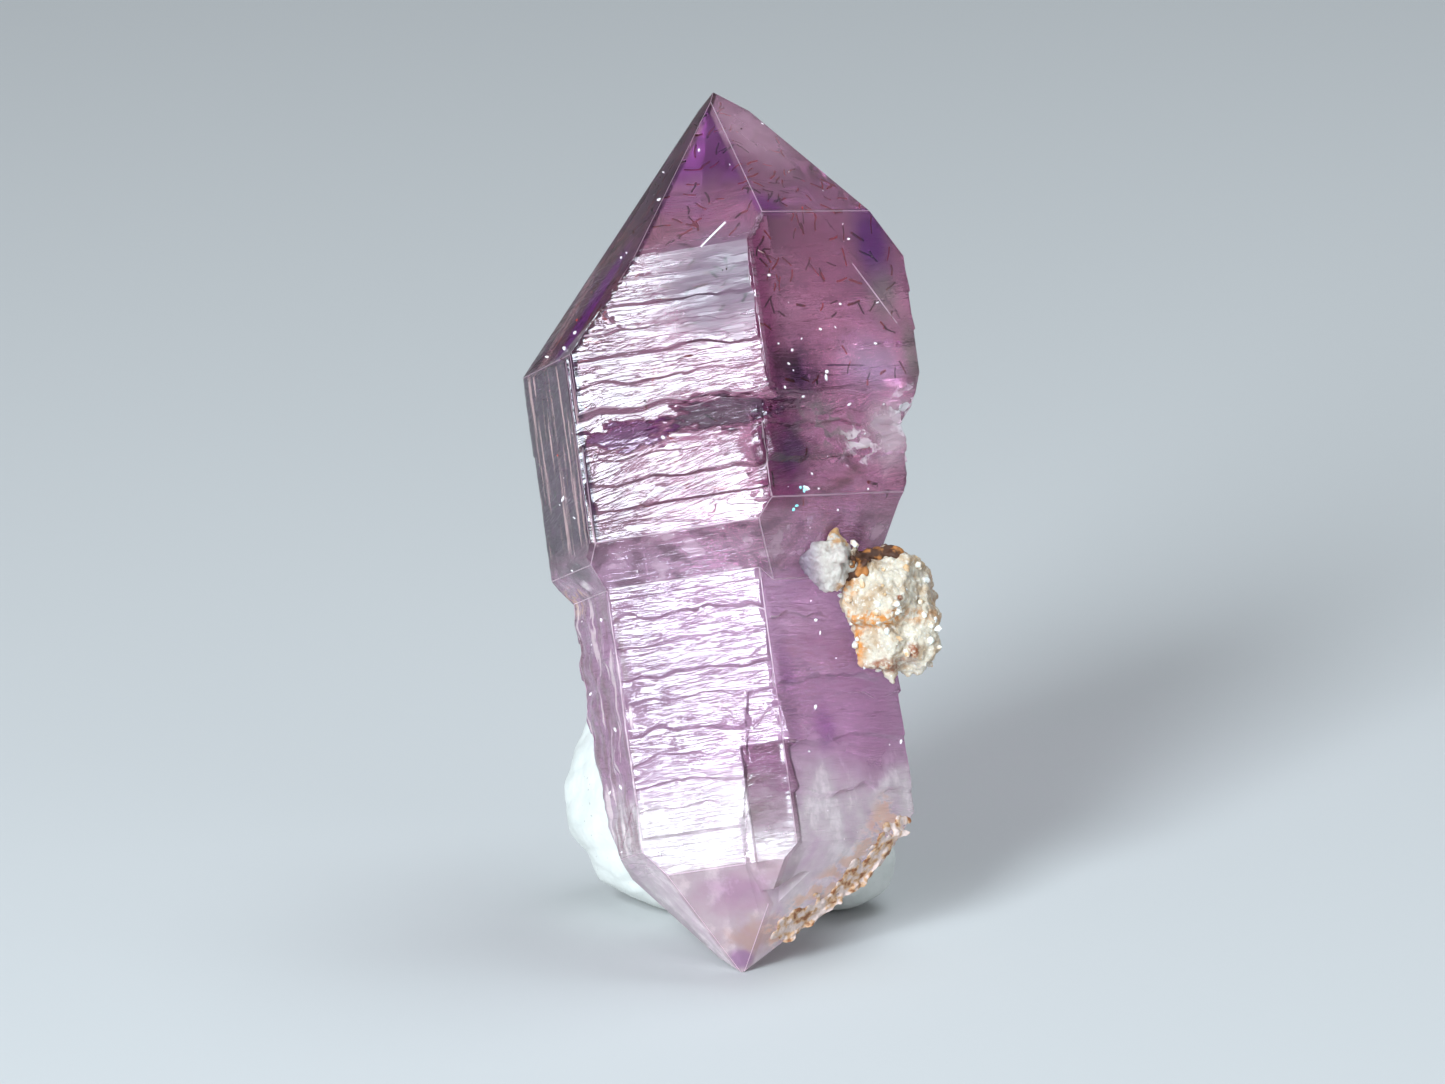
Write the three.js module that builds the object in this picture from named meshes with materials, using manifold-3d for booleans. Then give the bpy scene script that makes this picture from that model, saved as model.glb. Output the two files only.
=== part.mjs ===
// Amethyst scepter: a purple quartz head grown over a paler, doubly ended quartz stem,
// with a grainy cream cluster stuck to its right side, standing in a lump of white putty.
// Millimetres, +Z up. The front of the specimen faces -Y.
import * as THREE from 'three';
import { mergeVertices } from 'three/addons/utils/BufferGeometryUtils.js';
import Module from 'manifold-3d';

// How the crystal stands: its long axis leans back, and to the left
const LEAN_BACK = 19.8;
const LEAN_LEFT = 7.7;

// A ring of six faces goes round from front left: front left, front, front right,
// back right, back, back left. The front face is turned a little to the left.
const FRONT_FACE = 1;
const FRONT_FACE_TURN = -13.2;
const POINT_SLOPE = 38.2;

// Distances of prism faces are measured from the long axis through the lower tip,
// and heights along that axis, from the tip
const UPPER_HEAD = {
  prism: [4.85, 5.55, 7.92, 10.7, 7.8, 5.77],
  pointStart: [26.56, 30.2, 31.36, 29.4, 28.1, 26.64],
  undersideStart: [22.6, 24.05, 23.5, 24.3, 24.6, 23.2],
  undersideSlope: [-60, -38.2, -38.2, -26, -38.2, -45],
};
const LOWER_HEAD = {
  prism: [4.8, 5.38, 7.35, 9.55, 7.2, 5.7],
  shoulderStart: [24.5, 22.5, 23.6, 23.8, 24, 24.5],
  shoulderSlope: 16,
  undersideStart: [17.7, 18.5, 19.3, 20.4, 18.2, 17.3],
  undersideSlope: [-38.2, -50, -36, -20, -38.2, -30],
};
const STEM = {
  prism: [3.95, 3.14, 5.01, 8.52, 6.6, 5.2],
  pointStart: [5.4, 4.3, 4.85, 5.8, 8.2, 5.95],
  pointSlope: [-36.3, -36, -44.3, -42.8, -38.2, -37.5],
};
// The stem's left edge draws in above its point by two narrow faces
const LEFT_EDGE = { between: -0.5, distance: 5.32, starts: [10.2, 8.8], slopes: [-7, -14] };
const CORE_TOP = 27;

// The stem's front right edge is missing below this height, which leaves a long notch
const NOTCH = {
  top: 10.9,
  topSlope: -59,
  frontSetBack: 1.35,
  frontTurn: 13,
  narrowSide: 3.9,
  narrowSlope: -8,
};

// Raised plates on the head: one on the front left face stops short of its back edge,
// and a very low one on the front right face ends along a line of the back right point face
const LEFT_PLATE = { rise: 0.14, backEdge: 1.3 };
const RIGHT_PLATE = { rise: 0.07, setIn: 2.2 };

// Steps across the prism faces: each is a low wedge, steep below and tapering above
const STEP_TAPER = 7;
const STEP_UNDERCUT = -52;
// [height, rise, turn of the wedge round the long axis]
const HEAD_FRONT_STEPS = [
  [29.3, 0.1, 0.4], [28.3, 0.14, -0.5], [27.2, 0.12, 0.3], [26.2, 0.16, -0.3], [25.1, 0.12, 0.5],
];
const LOWER_HEAD_FRONT_STEPS = [[21.9, 0.12, 0.6], [20.9, 0.16, -0.5], [19.8, 0.14, 0.4]];
const LOWER_HEAD_SIDE_STEPS = [[22.4, 0.22, -1.2], [21, 0.26, 1]];
const HEAD_BACK_STEPS = [[27.5, 0.14, -0.6], [26.3, 0.2, 0.5], [25.2, 0.16, -0.4]];
const LOWER_HEAD_BACK_STEPS = [[22.6, 0.2, 0.8], [20.6, 0.24, -1]];
const HEAD_BACK_CORNER_STEPS = [[27.9, 0.1, 0.4], [26.1, 0.14, -0.5]];
const STEM_UPPER_FRONT_STEPS = [
  [16.2, 0.1, 0.4], [15.2, 0.16, -0.5], [14.1, 0.13, 0.3], [12.9, 0.18, -0.4], [11.7, 0.12, 0.5],
];
const STEM_LOWER_FRONT_STEPS = [
  [10.4, 0.2, -0.6], [9.3, 0.13, 0.5], [8.2, 0.17, -0.4], [7.1, 0.12, 0.4], [6, 0.15, -0.5],
];
const STEM_SIDE_STEPS = [[14.6, 0.14, 0.8], [11.9, 0.2, -0.9], [9.2, 0.24, 0.9], [7, 0.14, -0.7]];
const STEM_BACK_STEPS = [[15.6, 0.22, 0.7], [12.6, 0.26, -0.8], [10.2, 0.2, 0.6]];
const STEM_CORNER_STEPS = [[15, 0.14, -0.6], [13.3, 0.2, 0.7], [10.9, 0.16, -0.5]];

// What grows on a block is set in by this much on its other sides
const TUCK = 0.025;
const STEP_TUCK_GROWTH = 0.3;
// Corners closer than this are one corner
const SLIVER = 0.004;
// Gap kept between pieces that touch
const GAP = 0.3;

// The cluster's lumps, in the crystal's own frame: right, towards the back, up, radius
const CLUSTER_LUMPS = [
  [8.6, -0.9, 15.5, 1.7], [8.8, -0.7, 14.5, 1.75], [7.35, -1.3, 15.7, 1.4], [9.3, -0.6, 15.4, 1.2],
  [8.1, -0.8, 13.15, 1.65], [9.2, -0.7, 12.8, 1.35], [8.4, 0.9, 15.1, 1.7], [8.2, -1.9, 14.8, 1.4],
  [6.6, -1.6, 15.8, 1], [9.55, -0.8, 13.7, 1.1], [9, 0.5, 13.6, 1.4], [7.4, -1.7, 14.6, 1.15],
  [6.5, -2.3, 16.8, 0.9], [9.1, 0.3, 14.8, 1.5],
];
const LUMP_UNEVENNESS = 0.055;
// Waves that make the lumps uneven, in radians for each millimetre
const LUMP_WAVE = { right: 3.1, back: 2.7, up: -1.3 };
// Small crystals that stand out of the cluster
const SMALL_CRYSTAL = { taper: 0.94, prismShare: 0.62 };
const WHITE_CRYSTAL = { at: [6.05, -2.4, 16.25], height: 2.65, radius: 1.25, leanRight: -4, leanFront: 8 };
const CLUSTER_CRYSTALS = [
  { at: [8, -0.9, 12.4], height: 1.35, radius: 0.42, leanRight: 172, leanFront: 10 },
  { at: [8.4, -0.8, 12.3], height: 1.1, radius: 0.32, leanRight: 150, leanFront: -12 },
  { at: [6.7, -1.8, 15.2], height: 1.1, radius: 0.36, leanRight: -120, leanFront: 20 },
];

// The putty: a ball pressed flat below, with the crystal pushed into its front
const PUTTY = {
  middle: [-0.1, 10.1, 4.9],
  halfSize: [7.25, 5.5, 5.75],
  detail: 9,
  dentDepth: 0.22,
};
// Waves of the finger dents, in radians for each half size of the ball
const DENT_WAVE = { right: 3.3, up: 2.6, back: 4.1, start: 1.2 };
// Far larger than the crystal: every block is cut from this
const UNCUT_SIZE = [90, 90, 120];

const degrees = THREE.MathUtils.degToRad;
const wasm = await Module();
wasm.setup();

// Turns closed three.js geometry into a solid that can be joined and cut
function toSolid(geometry) {
  const bare = geometry.clone();
  bare.deleteAttribute('normal');
  bare.deleteAttribute('uv');
  const merged = mergeVertices(bare, 1e-4);
  return new wasm.Manifold(new wasm.Mesh({
    numProp: 3,
    vertProperties: new Float32Array(merged.attributes.position.array),
    triVerts: new Uint32Array(merged.index.array),
  }));
}

function toGeometry(solid) {
  const mesh = solid.getMesh();
  const geometry = new THREE.BufferGeometry();
  geometry.setAttribute('position', new THREE.BufferAttribute(mesh.vertProperties, 3));
  geometry.setIndex(new THREE.BufferAttribute(mesh.triVerts, 1));
  geometry.computeVertexNormals();
  return geometry;
}

// One flat crystal face: its outward direction and its distance from the lower tip
function face(index, slope, distance, turn = 0) {
  const azimuth = degrees(FRONT_FACE_TURN + 60 * (index - FRONT_FACE) + turn);
  const level = Math.cos(degrees(slope));
  const out = [level * Math.sin(azimuth), -level * Math.cos(azimuth), Math.sin(degrees(slope))];
  return { out, distance };
}

// A sloping face that leaves a prism face at a given height
function slopingFace(index, slope, prismDistance, height, turn = 0) {
  const distance = Math.cos(degrees(slope)) * prismDistance + Math.sin(degrees(slope)) * height;
  return face(index, slope, distance, turn);
}

function prismRing(prism) {
  return prism.map((distance, index) => face(index, 0, distance));
}

function slopingRing(prism, heights, slopes) {
  return heights.map((height, index) => {
    const slope = Array.isArray(slopes) ? slopes[index] : slopes;
    return slopingFace(index, slope, prism[index], height);
  });
}

// The same faces set a little inwards, so that what grows on a block meets it cleanly
function tucked(faces, depth) {
  return faces.map(({ out, distance }) => ({ out, distance: distance - depth }));
}

// The tucked block with one of its prism faces raised
function raisedFaces(faces, index, distance, depth) {
  return tucked(faces, depth).map((one, order) => (order === index ? face(index, 0, distance) : one));
}

// Cuts a large block down to the space behind all the given faces
function solidBehind(faces, growth = 0) {
  return faces.reduce(
    (solid, { out, distance }) => solid.trimByPlane(out.map((value) => -value), -distance - growth),
    toSolid(new THREE.BoxGeometry(...UNCUT_SIZE)),
  );
}

function levelTop(height) {
  return { out: [0, 0, 1], distance: height };
}

const upperHeadFaces = [
  ...prismRing(UPPER_HEAD.prism),
  ...slopingRing(UPPER_HEAD.prism, UPPER_HEAD.pointStart, POINT_SLOPE),
  ...slopingRing(UPPER_HEAD.prism, UPPER_HEAD.undersideStart, UPPER_HEAD.undersideSlope),
];
const lowerHeadFaces = [
  ...prismRing(LOWER_HEAD.prism),
  ...slopingRing(LOWER_HEAD.prism, LOWER_HEAD.shoulderStart, LOWER_HEAD.shoulderSlope),
  ...slopingRing(LOWER_HEAD.prism, LOWER_HEAD.undersideStart, LOWER_HEAD.undersideSlope),
  levelTop(CORE_TOP),
];
const stemFaces = [
  ...prismRing(STEM.prism),
  ...slopingRing(STEM.prism, STEM.pointStart, STEM.pointSlope),
  ...LEFT_EDGE.starts.map((height, order) => slopingFace(
    LEFT_EDGE.between,
    LEFT_EDGE.slopes[order],
    LEFT_EDGE.distance,
    height,
  )),
  levelTop(CORE_TOP),
];

// The lower stem beside the notch: a narrow full front, and a full side set back
const narrowStemFaces = [
  ...tucked(stemFaces, TUCK),
  slopingFace(2, NOTCH.narrowSlope, NOTCH.narrowSide, NOTCH.top),
];
const setBackStemFaces = [
  ...tucked(stemFaces, 2 * TUCK),
  face(FRONT_FACE, 0, STEM.prism[FRONT_FACE] - NOTCH.frontSetBack, NOTCH.frontTurn),
];
const upperStemFaces = [...stemFaces, slopingFace(2, NOTCH.topSlope, STEM.prism[2], NOTCH.top)];

// Low wedges that cross one prism face of a block
function stepFaces(blockFaces, prism, index, steps) {
  return steps.map(([height, rise, skew], order) => {
    const ridge = prism[index] + rise;
    return [
      ...raisedFaces(blockFaces, index, ridge, TUCK * (1 + STEP_TUCK_GROWTH * order)),
      slopingFace(index, STEP_TAPER, ridge, height, skew),
      slopingFace(index, STEP_UNDERCUT, ridge, height, skew),
    ];
  });
}

// The plate on the front left face runs down both parts of the head
function leftPlateFaces() {
  const wholeHead = [
    ...prismRing(LOWER_HEAD.prism),
    ...slopingRing(UPPER_HEAD.prism, UPPER_HEAD.pointStart, POINT_SLOPE),
    ...slopingRing(LOWER_HEAD.prism, LOWER_HEAD.undersideStart, LOWER_HEAD.undersideSlope),
  ];
  return [
    ...raisedFaces(wholeHead, 0, UPPER_HEAD.prism[0] + LEFT_PLATE.rise, 2 * TUCK),
    face(5, 0, LOWER_HEAD.prism[5] - LEFT_PLATE.backEdge),
  ];
}

function rightPlateFaces() {
  const backRight = slopingFace(3, POINT_SLOPE, UPPER_HEAD.prism[3], UPPER_HEAD.pointStart[3]);
  return [
    ...raisedFaces(upperHeadFaces, 2, UPPER_HEAD.prism[2] + RIGHT_PLATE.rise, 2 * TUCK),
    { out: backRight.out, distance: backRight.distance - RIGHT_PLATE.setIn },
  ];
}

function crystalBlocks() {
  return [
    upperHeadFaces,
    lowerHeadFaces,
    upperStemFaces,
    narrowStemFaces,
    setBackStemFaces,
    leftPlateFaces(),
    rightPlateFaces(),
    ...stepFaces(upperHeadFaces, UPPER_HEAD.prism, 1, HEAD_FRONT_STEPS),
    ...stepFaces(upperHeadFaces, UPPER_HEAD.prism, 4, HEAD_BACK_STEPS),
    ...stepFaces(upperHeadFaces, UPPER_HEAD.prism, 3, HEAD_BACK_CORNER_STEPS),
    ...stepFaces(lowerHeadFaces, LOWER_HEAD.prism, 1, LOWER_HEAD_FRONT_STEPS),
    ...stepFaces(lowerHeadFaces, LOWER_HEAD.prism, 2, LOWER_HEAD_SIDE_STEPS),
    ...stepFaces(lowerHeadFaces, LOWER_HEAD.prism, 4, LOWER_HEAD_BACK_STEPS),
    ...stepFaces(upperStemFaces, STEM.prism, 1, STEM_UPPER_FRONT_STEPS),
    ...stepFaces(narrowStemFaces, STEM.prism, 1, STEM_LOWER_FRONT_STEPS),
    ...stepFaces(stemFaces, STEM.prism, 2, STEM_SIDE_STEPS),
    ...stepFaces(stemFaces, STEM.prism, 4, STEM_BACK_STEPS),
    ...stepFaces(stemFaces, STEM.prism, 3, STEM_CORNER_STEPS),
    ...stepFaces(stemFaces, STEM.prism, 5, STEM_CORNER_STEPS),
  ];
}

function joined(solids) {
  return solids.reduce((whole, one) => whole.add(one));
}

function crystalSolid(growth = 0) {
  return joined(crystalBlocks().map((faces) => solidBehind(faces, growth))).simplify(SLIVER);
}

// A rough angular lump, uneven by a fixed wave of its own directions
function lumpSolid([x, y, z, radius], order) {
  const geometry = new THREE.DodecahedronGeometry(radius, 0);
  const corner = new THREE.Vector3();
  const { position } = geometry.attributes;
  for (let i = 0; i < position.count; i += 1) {
    corner.fromBufferAttribute(position, i);
    const wave = Math.sin(LUMP_WAVE.right * corner.x + 2 * order)
      + Math.cos(LUMP_WAVE.back * corner.y + LUMP_WAVE.up * corner.z + order);
    corner.multiplyScalar(1 + LUMP_UNEVENNESS * wave);
    position.setXYZ(i, corner.x, corner.y, corner.z);
  }
  geometry.rotateY(order);
  geometry.translate(x, y, z);
  return toSolid(geometry);
}

// A short six-sided crystal with a pointed top
function pointedCrystalSolid({ at, height, radius, leanRight, leanFront }) {
  const outline = [
    new THREE.Vector2(0, 0),
    new THREE.Vector2(radius, 0),
    new THREE.Vector2(radius * SMALL_CRYSTAL.taper, height * SMALL_CRYSTAL.prismShare),
    new THREE.Vector2(0, height),
  ];
  const geometry = new THREE.LatheGeometry(outline, 6);
  geometry.rotateX(degrees(90));
  geometry.rotateX(degrees(leanFront));
  geometry.rotateY(degrees(leanRight));
  geometry.translate(...at);
  return toSolid(geometry);
}

function clusterSolid() {
  const lumps = CLUSTER_LUMPS.map(lumpSolid);
  const crystals = [WHITE_CRYSTAL, ...CLUSTER_CRYSTALS].map(pointedCrystalSolid);
  return joined([...lumps, ...crystals]).subtract(crystalSolid(GAP)).simplify(SLIVER);
}

// The putty ball: shallow finger dents, a flat foot and the bed of the crystal
function puttySolid(crystalPlacing) {
  const geometry = new THREE.IcosahedronGeometry(1, PUTTY.detail);
  const [halfX, halfY, halfZ] = PUTTY.halfSize;
  const corner = new THREE.Vector3();
  const { position } = geometry.attributes;
  for (let i = 0; i < position.count; i += 1) {
    corner.fromBufferAttribute(position, i);
    const dent = Math.sin(DENT_WAVE.right * corner.x + DENT_WAVE.start) * Math.cos(DENT_WAVE.up * corner.z)
      + Math.sin(DENT_WAVE.back * corner.y);
    corner.set(corner.x * halfX, corner.y * halfY, corner.z * halfZ);
    corner.addScaledVector(corner.clone().normalize(), PUTTY.dentDepth * dent);
    position.setXYZ(i, corner.x, corner.y, corner.z);
  }
  geometry.translate(...PUTTY.middle);
  const bed = crystalSolid(GAP).transform(crystalPlacing.elements);
  return toSolid(geometry).trimByPlane([0, 0, 1], 0).subtract(bed).simplify(SLIVER);
}

const amethystFinish = new THREE.MeshStandardMaterial({ color: 0x8a5a96, roughness: 0.08, metalness: 0 });
const clusterFinish = new THREE.MeshStandardMaterial({ color: 0xd9cdb4, roughness: 0.6, metalness: 0 });
const puttyFinish = new THREE.MeshStandardMaterial({ color: 0xeaf0ee, roughness: 0.85, metalness: 0 });

function namedMesh(name, solid, material) {
  const mesh = new THREE.Mesh(toGeometry(solid), material);
  mesh.name = name;
  return mesh;
}

// The crystal and its cluster stand in one leaning frame, the putty in the upright one
const leanBack = new THREE.Group();
leanBack.rotation.x = degrees(-LEAN_BACK);
const leanLeft = new THREE.Group();
leanLeft.rotation.y = degrees(-LEAN_LEFT);
leanBack.add(leanLeft);
leanLeft.add(namedMesh('amethyst_crystal', crystalSolid(), amethystFinish));
leanLeft.add(namedMesh('matrix_cluster', clusterSolid(), clusterFinish));
leanBack.updateMatrixWorld(true);

// The lowest corner of the crystal is its tip, which stands on the surface with the putty
const tipHeight = new THREE.Box3().setFromObject(leanLeft, true).min.z;
leanBack.position.z = -tipHeight;
leanBack.updateMatrixWorld(true);

const specimen = new THREE.Group();
specimen.add(leanBack);
specimen.add(namedMesh('putty_stand', puttySolid(leanLeft.matrixWorld), puttyFinish));

// The origin is the middle of the footprint, on the surface
const extent = new THREE.Box3().setFromObject(specimen, true);
const middle = extent.getCenter(new THREE.Vector3());
specimen.position.set(-middle.x, -middle.y, -extent.min.z);

const amethystScepter = new THREE.Group();
amethystScepter.add(specimen);

export default amethystScepter;
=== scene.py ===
import math
import random

import bpy
from mathutils import Matrix, Quaternion, Vector
from mathutils.bvhtree import BVHTree


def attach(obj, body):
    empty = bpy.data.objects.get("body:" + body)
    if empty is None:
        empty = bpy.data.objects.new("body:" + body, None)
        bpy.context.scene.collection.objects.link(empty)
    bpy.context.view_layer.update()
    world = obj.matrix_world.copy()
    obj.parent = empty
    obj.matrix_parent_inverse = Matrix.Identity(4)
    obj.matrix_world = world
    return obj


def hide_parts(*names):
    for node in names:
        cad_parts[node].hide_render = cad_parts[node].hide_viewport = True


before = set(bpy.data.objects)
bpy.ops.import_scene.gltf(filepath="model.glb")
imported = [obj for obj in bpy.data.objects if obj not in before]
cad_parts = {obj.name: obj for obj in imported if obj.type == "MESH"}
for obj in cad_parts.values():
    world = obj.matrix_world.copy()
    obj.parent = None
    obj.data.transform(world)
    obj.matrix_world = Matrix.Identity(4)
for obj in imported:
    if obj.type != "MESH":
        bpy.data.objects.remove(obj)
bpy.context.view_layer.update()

# The amethyst: one clear quartz crystal. A pale stem with a point of its own below is
# overgrown by a purple head in two steps. The side faces carry the fine cross lines of
# slow growth, the long edges are slightly worn and painted pale as a highlight along them,
# and the lower right of the head is broken.

MM = 0.001
lower_tip = Vector((0.369, -7.403, 0.0)) * MM
leaning = Matrix.Rotation(math.radians(-19.8), 4, "X") @ Matrix.Rotation(math.radians(-7.7), 4, "Y")
crystal_place = Matrix.Translation(lower_tip) @ leaning
long_axis = leaning @ Vector((0, 0, 1))
FRONT_FACE_TURN = -13.2
POINT_SLOPE = 38.2
POINT_FACES = {-1: 20.35, 0: 23.13, 1: 25.63, 2: 26.56, 3: 23.5, 4: 21.08}
QUARTZ_IOR = 1.544
ALL_ROUND = 6.28


def in_crystal(right, back, up):
    """A point given in millimetres from the lower tip, along the crystal's own directions."""
    return crystal_place @ (Vector((right, back, up)) * MM)


def along_face(turns):
    """The level direction that runs along a side face, counted in sixths from the front face."""
    angle = math.radians(FRONT_FACE_TURN + 60 * turns)
    return leaning @ Vector((math.cos(angle), math.sin(angle), 0))


def out_of_face(turns):
    """The direction that a side face looks in."""
    angle = math.radians(FRONT_FACE_TURN + 60 * turns)
    return leaning @ Vector((math.sin(angle), -math.cos(angle), 0))


def take_up(*pieces):
    """Only these pieces are selected, and the first is the one worked on."""
    bpy.ops.object.select_all(action="DESELECT")
    for piece in pieces:
        piece.select_set(True)
    bpy.context.view_layer.objects.active = pieces[0]


def select_faces(piece, wanted):
    """Opens a piece for work on the faces that are wanted."""
    bpy.ops.object.mode_set(mode="EDIT")
    bpy.ops.mesh.select_mode(type="FACE")
    bpy.ops.mesh.select_all(action="DESELECT")
    bpy.ops.object.mode_set(mode="OBJECT")
    for face in piece.data.polygons:
        face.select = wanted(face)
    bpy.ops.object.mode_set(mode="EDIT")


def merged_copy(node, name):
    """A copy of a solid with its loose triangles joined and its flat faces made whole."""
    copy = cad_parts[node].copy()
    copy.data = copy.data.copy()
    copy.name = copy.data.name = name
    copy.parent = None
    bpy.context.collection.objects.link(copy)
    take_up(copy)
    bpy.ops.object.mode_set(mode="EDIT")
    bpy.ops.mesh.select_all(action="SELECT")
    bpy.ops.mesh.remove_doubles(threshold=0.001 * MM)
    bpy.ops.mesh.dissolve_limited(angle_limit=math.radians(0.3))
    bpy.ops.object.mode_set(mode="OBJECT")
    return copy


def apply_modifier(piece, kind, **settings):
    """Adds a modifier, sets it and applies it."""
    modifier = piece.modifiers.new(kind.lower(), kind)
    for name, value in settings.items():
        setattr(modifier, name, value)
    take_up(piece)
    bpy.ops.object.modifier_apply(modifier=modifier.name)


def melt(piece, grain, passes):
    """Makes a piece one closed skin of small faces, and softens it."""
    apply_modifier(piece, "REMESH", mode="VOXEL", voxel_size=grain * MM)
    apply_modifier(piece, "SMOOTH", factor=0.5, iterations=passes)


def relief(name, kind, **settings):
    """A pattern that pushes a surface in and out."""
    pattern = bpy.data.textures.new(name, kind)
    pattern.noise_scale = 1
    for key, value in settings.items():
        setattr(pattern, key, value)
    return pattern


def push(piece, pattern, depth, stretch, group="", direction="NORMAL"):
    """Moves a surface by a pattern that is stretched along the crystal's own directions, in millimetres."""
    gauge = bpy.data.objects.new("gauge", None)
    bpy.context.collection.objects.link(gauge)
    gauge.matrix_world = crystal_place @ Matrix.Diagonal((*[size * MM for size in stretch], 1))
    bpy.context.view_layer.update()
    apply_modifier(
        piece, "DISPLACE", texture=pattern, texture_coords="OBJECT", texture_coords_object=gauge,
        strength=depth * MM, mid_level=0.5, vertex_group=group, direction=direction,
    )
    bpy.data.objects.remove(gauge)


crystal = merged_copy("amethyst_crystal", "Amethyst")


def bend_of_edges(piece):
    """How sharply the two faces at each edge meet, the size of the smaller one, and the edge's length."""
    meeting = {}
    for face in piece.data.polygons:
        for key in face.edge_keys:
            meeting.setdefault(key, []).append(face)
    bends = []
    for edge in piece.data.edges:
        first, second = (piece.data.vertices[index].co for index in edge.vertices)
        pair = meeting[edge.key]
        bend = math.degrees(pair[0].normal.angle(pair[1].normal))
        bends.append((bend, min(face.area for face in pair), (first - second).length))
    return bends


EDGE_WEAR = 0.022
long_edges = [
    bend > 22 and length > 0.8 * MM and smaller > 2.5 * MM ** 2
    for bend, smaller, length in bend_of_edges(crystal)
]
bpy.ops.object.mode_set(mode="EDIT")
bpy.ops.mesh.select_mode(type="EDGE")
bpy.ops.mesh.select_all(action="DESELECT")
bpy.ops.object.mode_set(mode="OBJECT")
for edge, wanted in zip(crystal.data.edges, long_edges):
    edge.select = wanted
bpy.ops.object.mode_set(mode="EDIT")
bpy.ops.mesh.bevel(offset=EDGE_WEAR * MM, segments=1, affect="EDGES", clamp_overlap=False)
bpy.ops.object.mode_set(mode="OBJECT")
# The thin bevel faces of the long edges are marked, for real wear and for a painted pale highlight along them.
worn_and_highlit = crystal.data.attributes.new("worn_highlit_edge", "FLOAT", "FACE")
for face in crystal.data.polygons:
    corners = [crystal.data.vertices[index].co for index in face.vertices]
    longest = max((first - second).length for first in corners for second in corners)
    worn_and_highlit.data[face.index].value = float(face.area < 2.5 * EDGE_WEAR * MM * longest)

ROW_GAP = 0.1
LOWEST_ROW = 3.2
ROWS = 290
COLUMN_GAP = 0.3
HALF_WIDTH = 12


def cut_through(piece, name, wanted, cuts):
    """Cuts the faces that are wanted along many planes, so that fine relief can move them."""
    group = piece.vertex_groups.new(name=name)
    select_faces(piece, wanted)
    bpy.ops.object.vertex_group_assign()
    for middle, direction in cuts:
        bpy.ops.mesh.select_all(action="DESELECT")
        bpy.ops.object.vertex_group_select()
        bpy.ops.mesh.bisect(plane_co=middle, plane_no=direction, threshold=0.001 * MM)
    bpy.ops.object.mode_set(mode="OBJECT")
    piece.vertex_groups.remove(group)


half = int(HALF_WIDTH / COLUMN_GAP)
for turns in range(3):
    outward, level_way = out_of_face(turns), along_face(turns)
    cut_through(
        crystal, "side_and_steps",
        lambda face: abs(face.normal.dot(outward)) > (0.97 if face.area > 3 * MM ** 2 else 0.55),
        [
            (crystal_place.translation + level_way * COLUMN_GAP * MM * column, level_way)
            for column in range(-half, half)
        ],
    )
cut_through(
    crystal, "sides", lambda face: abs(face.normal.dot(long_axis)) < 0.14 and face.area > 0.01 * MM ** 2,
    [(in_crystal(0, 0, LOWEST_ROW + ROW_GAP * row), long_axis) for row in range(ROWS)],
)

select_faces(crystal, lambda face: abs(face.normal.dot(long_axis)) < 0.3 and face.area > 0.002 * MM ** 2)
bpy.ops.object.mode_set(mode="OBJECT")


def weigh(piece, name, weight_at):
    """A group of the selected corners, each with a weight from its place on the crystal."""
    group = piece.vertex_groups.new(name=name)
    into_crystal = crystal_place.inverted()
    for vertex in piece.data.vertices:
        weight = weight_at(*(into_crystal @ vertex.co / MM)) if vertex.select else 0
        if weight > 0:
            group.add([vertex.index], min(weight, 1), "REPLACE")


def fade(value, low, high, soft):
    """1 between two values, and softly 0 outside them."""
    return max(0, min(1, (value - low) / soft, (high - value) / soft))


weigh(
    crystal, "lined",
    lambda right, back, up: 1 - 0.8 * fade(up, 23.9, 32, 0.3) * fade(right - 0.94 * back, 9.8, 16, 0.3),
)
select_faces(crystal, lambda face: True)
bpy.ops.object.mode_set(mode="OBJECT")


def under_point(right, back, up):
    """How far a place is below the six faces of the upper point."""
    gaps = []
    for turns, distance in POINT_FACES.items():
        azimuth, slope = math.radians(FRONT_FACE_TURN + 60 * turns), math.radians(POINT_SLOPE)
        outward = Vector((math.sin(azimuth) * math.cos(slope), -math.cos(azimuth) * math.cos(slope), math.sin(slope)))
        gaps.append(distance - outward.dot((right, back, up)))
    return min(gaps)


weigh(
    crystal, "drifting",
    lambda right, back, up:
        fade(up, 6.0, 16.2, 0.9) + 0.6 * fade(up, 19.6, 40, 0.9) * fade(under_point(right, back, up), 0, 40, 1.2),
)
weigh(crystal, "hollowed", lambda right, back, up: fade(up, 5.2, 16.6, 0.8) * fade(-right, 3.3, 9, 0.5))
weigh(crystal, "broken", lambda right, back, up: fade(up, 19.2, 23.4, 0.3) * fade(right - 0.94 * back, 9.0, 16, 0.6))

level_drift = relief("level_drift", "CLOUDS", noise_depth=2, contrast=1.5, use_color_ramp=True)
level_drift.color_ramp.elements[0].color = (*(0.5 - 0.5 * part for part in long_axis), 1)
level_drift.color_ramp.elements[1].color = (*(0.5 + 0.5 * part for part in long_axis), 1)
push(crystal, level_drift, 0.7, (1.5, 1.5, 3.5), "drifting", direction="RGB_TO_XYZ")
push(crystal, relief("growth_lines", "CLOUDS", noise_depth=2, contrast=4), 0.01, (2.4, 2.4, 0.32), "lined")
push(crystal, relief("slow_swell", "CLOUDS", noise_depth=0), 0.03, (3.5, 3.5, 1.8), "lined")
broken_faces = relief("broken_faces", "VORONOI", distance_metric="MANHATTAN")
push(crystal, broken_faces, 0.2, (1.7, 1.7, 0.8), "broken")
push(crystal, relief("left_hollows", "CLOUDS", noise_depth=2), 0.55, (1.0, 1.0, 1.5), "hollowed")
take_up(crystal)
bpy.ops.object.shade_smooth_by_angle(angle=math.radians(24))


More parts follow.
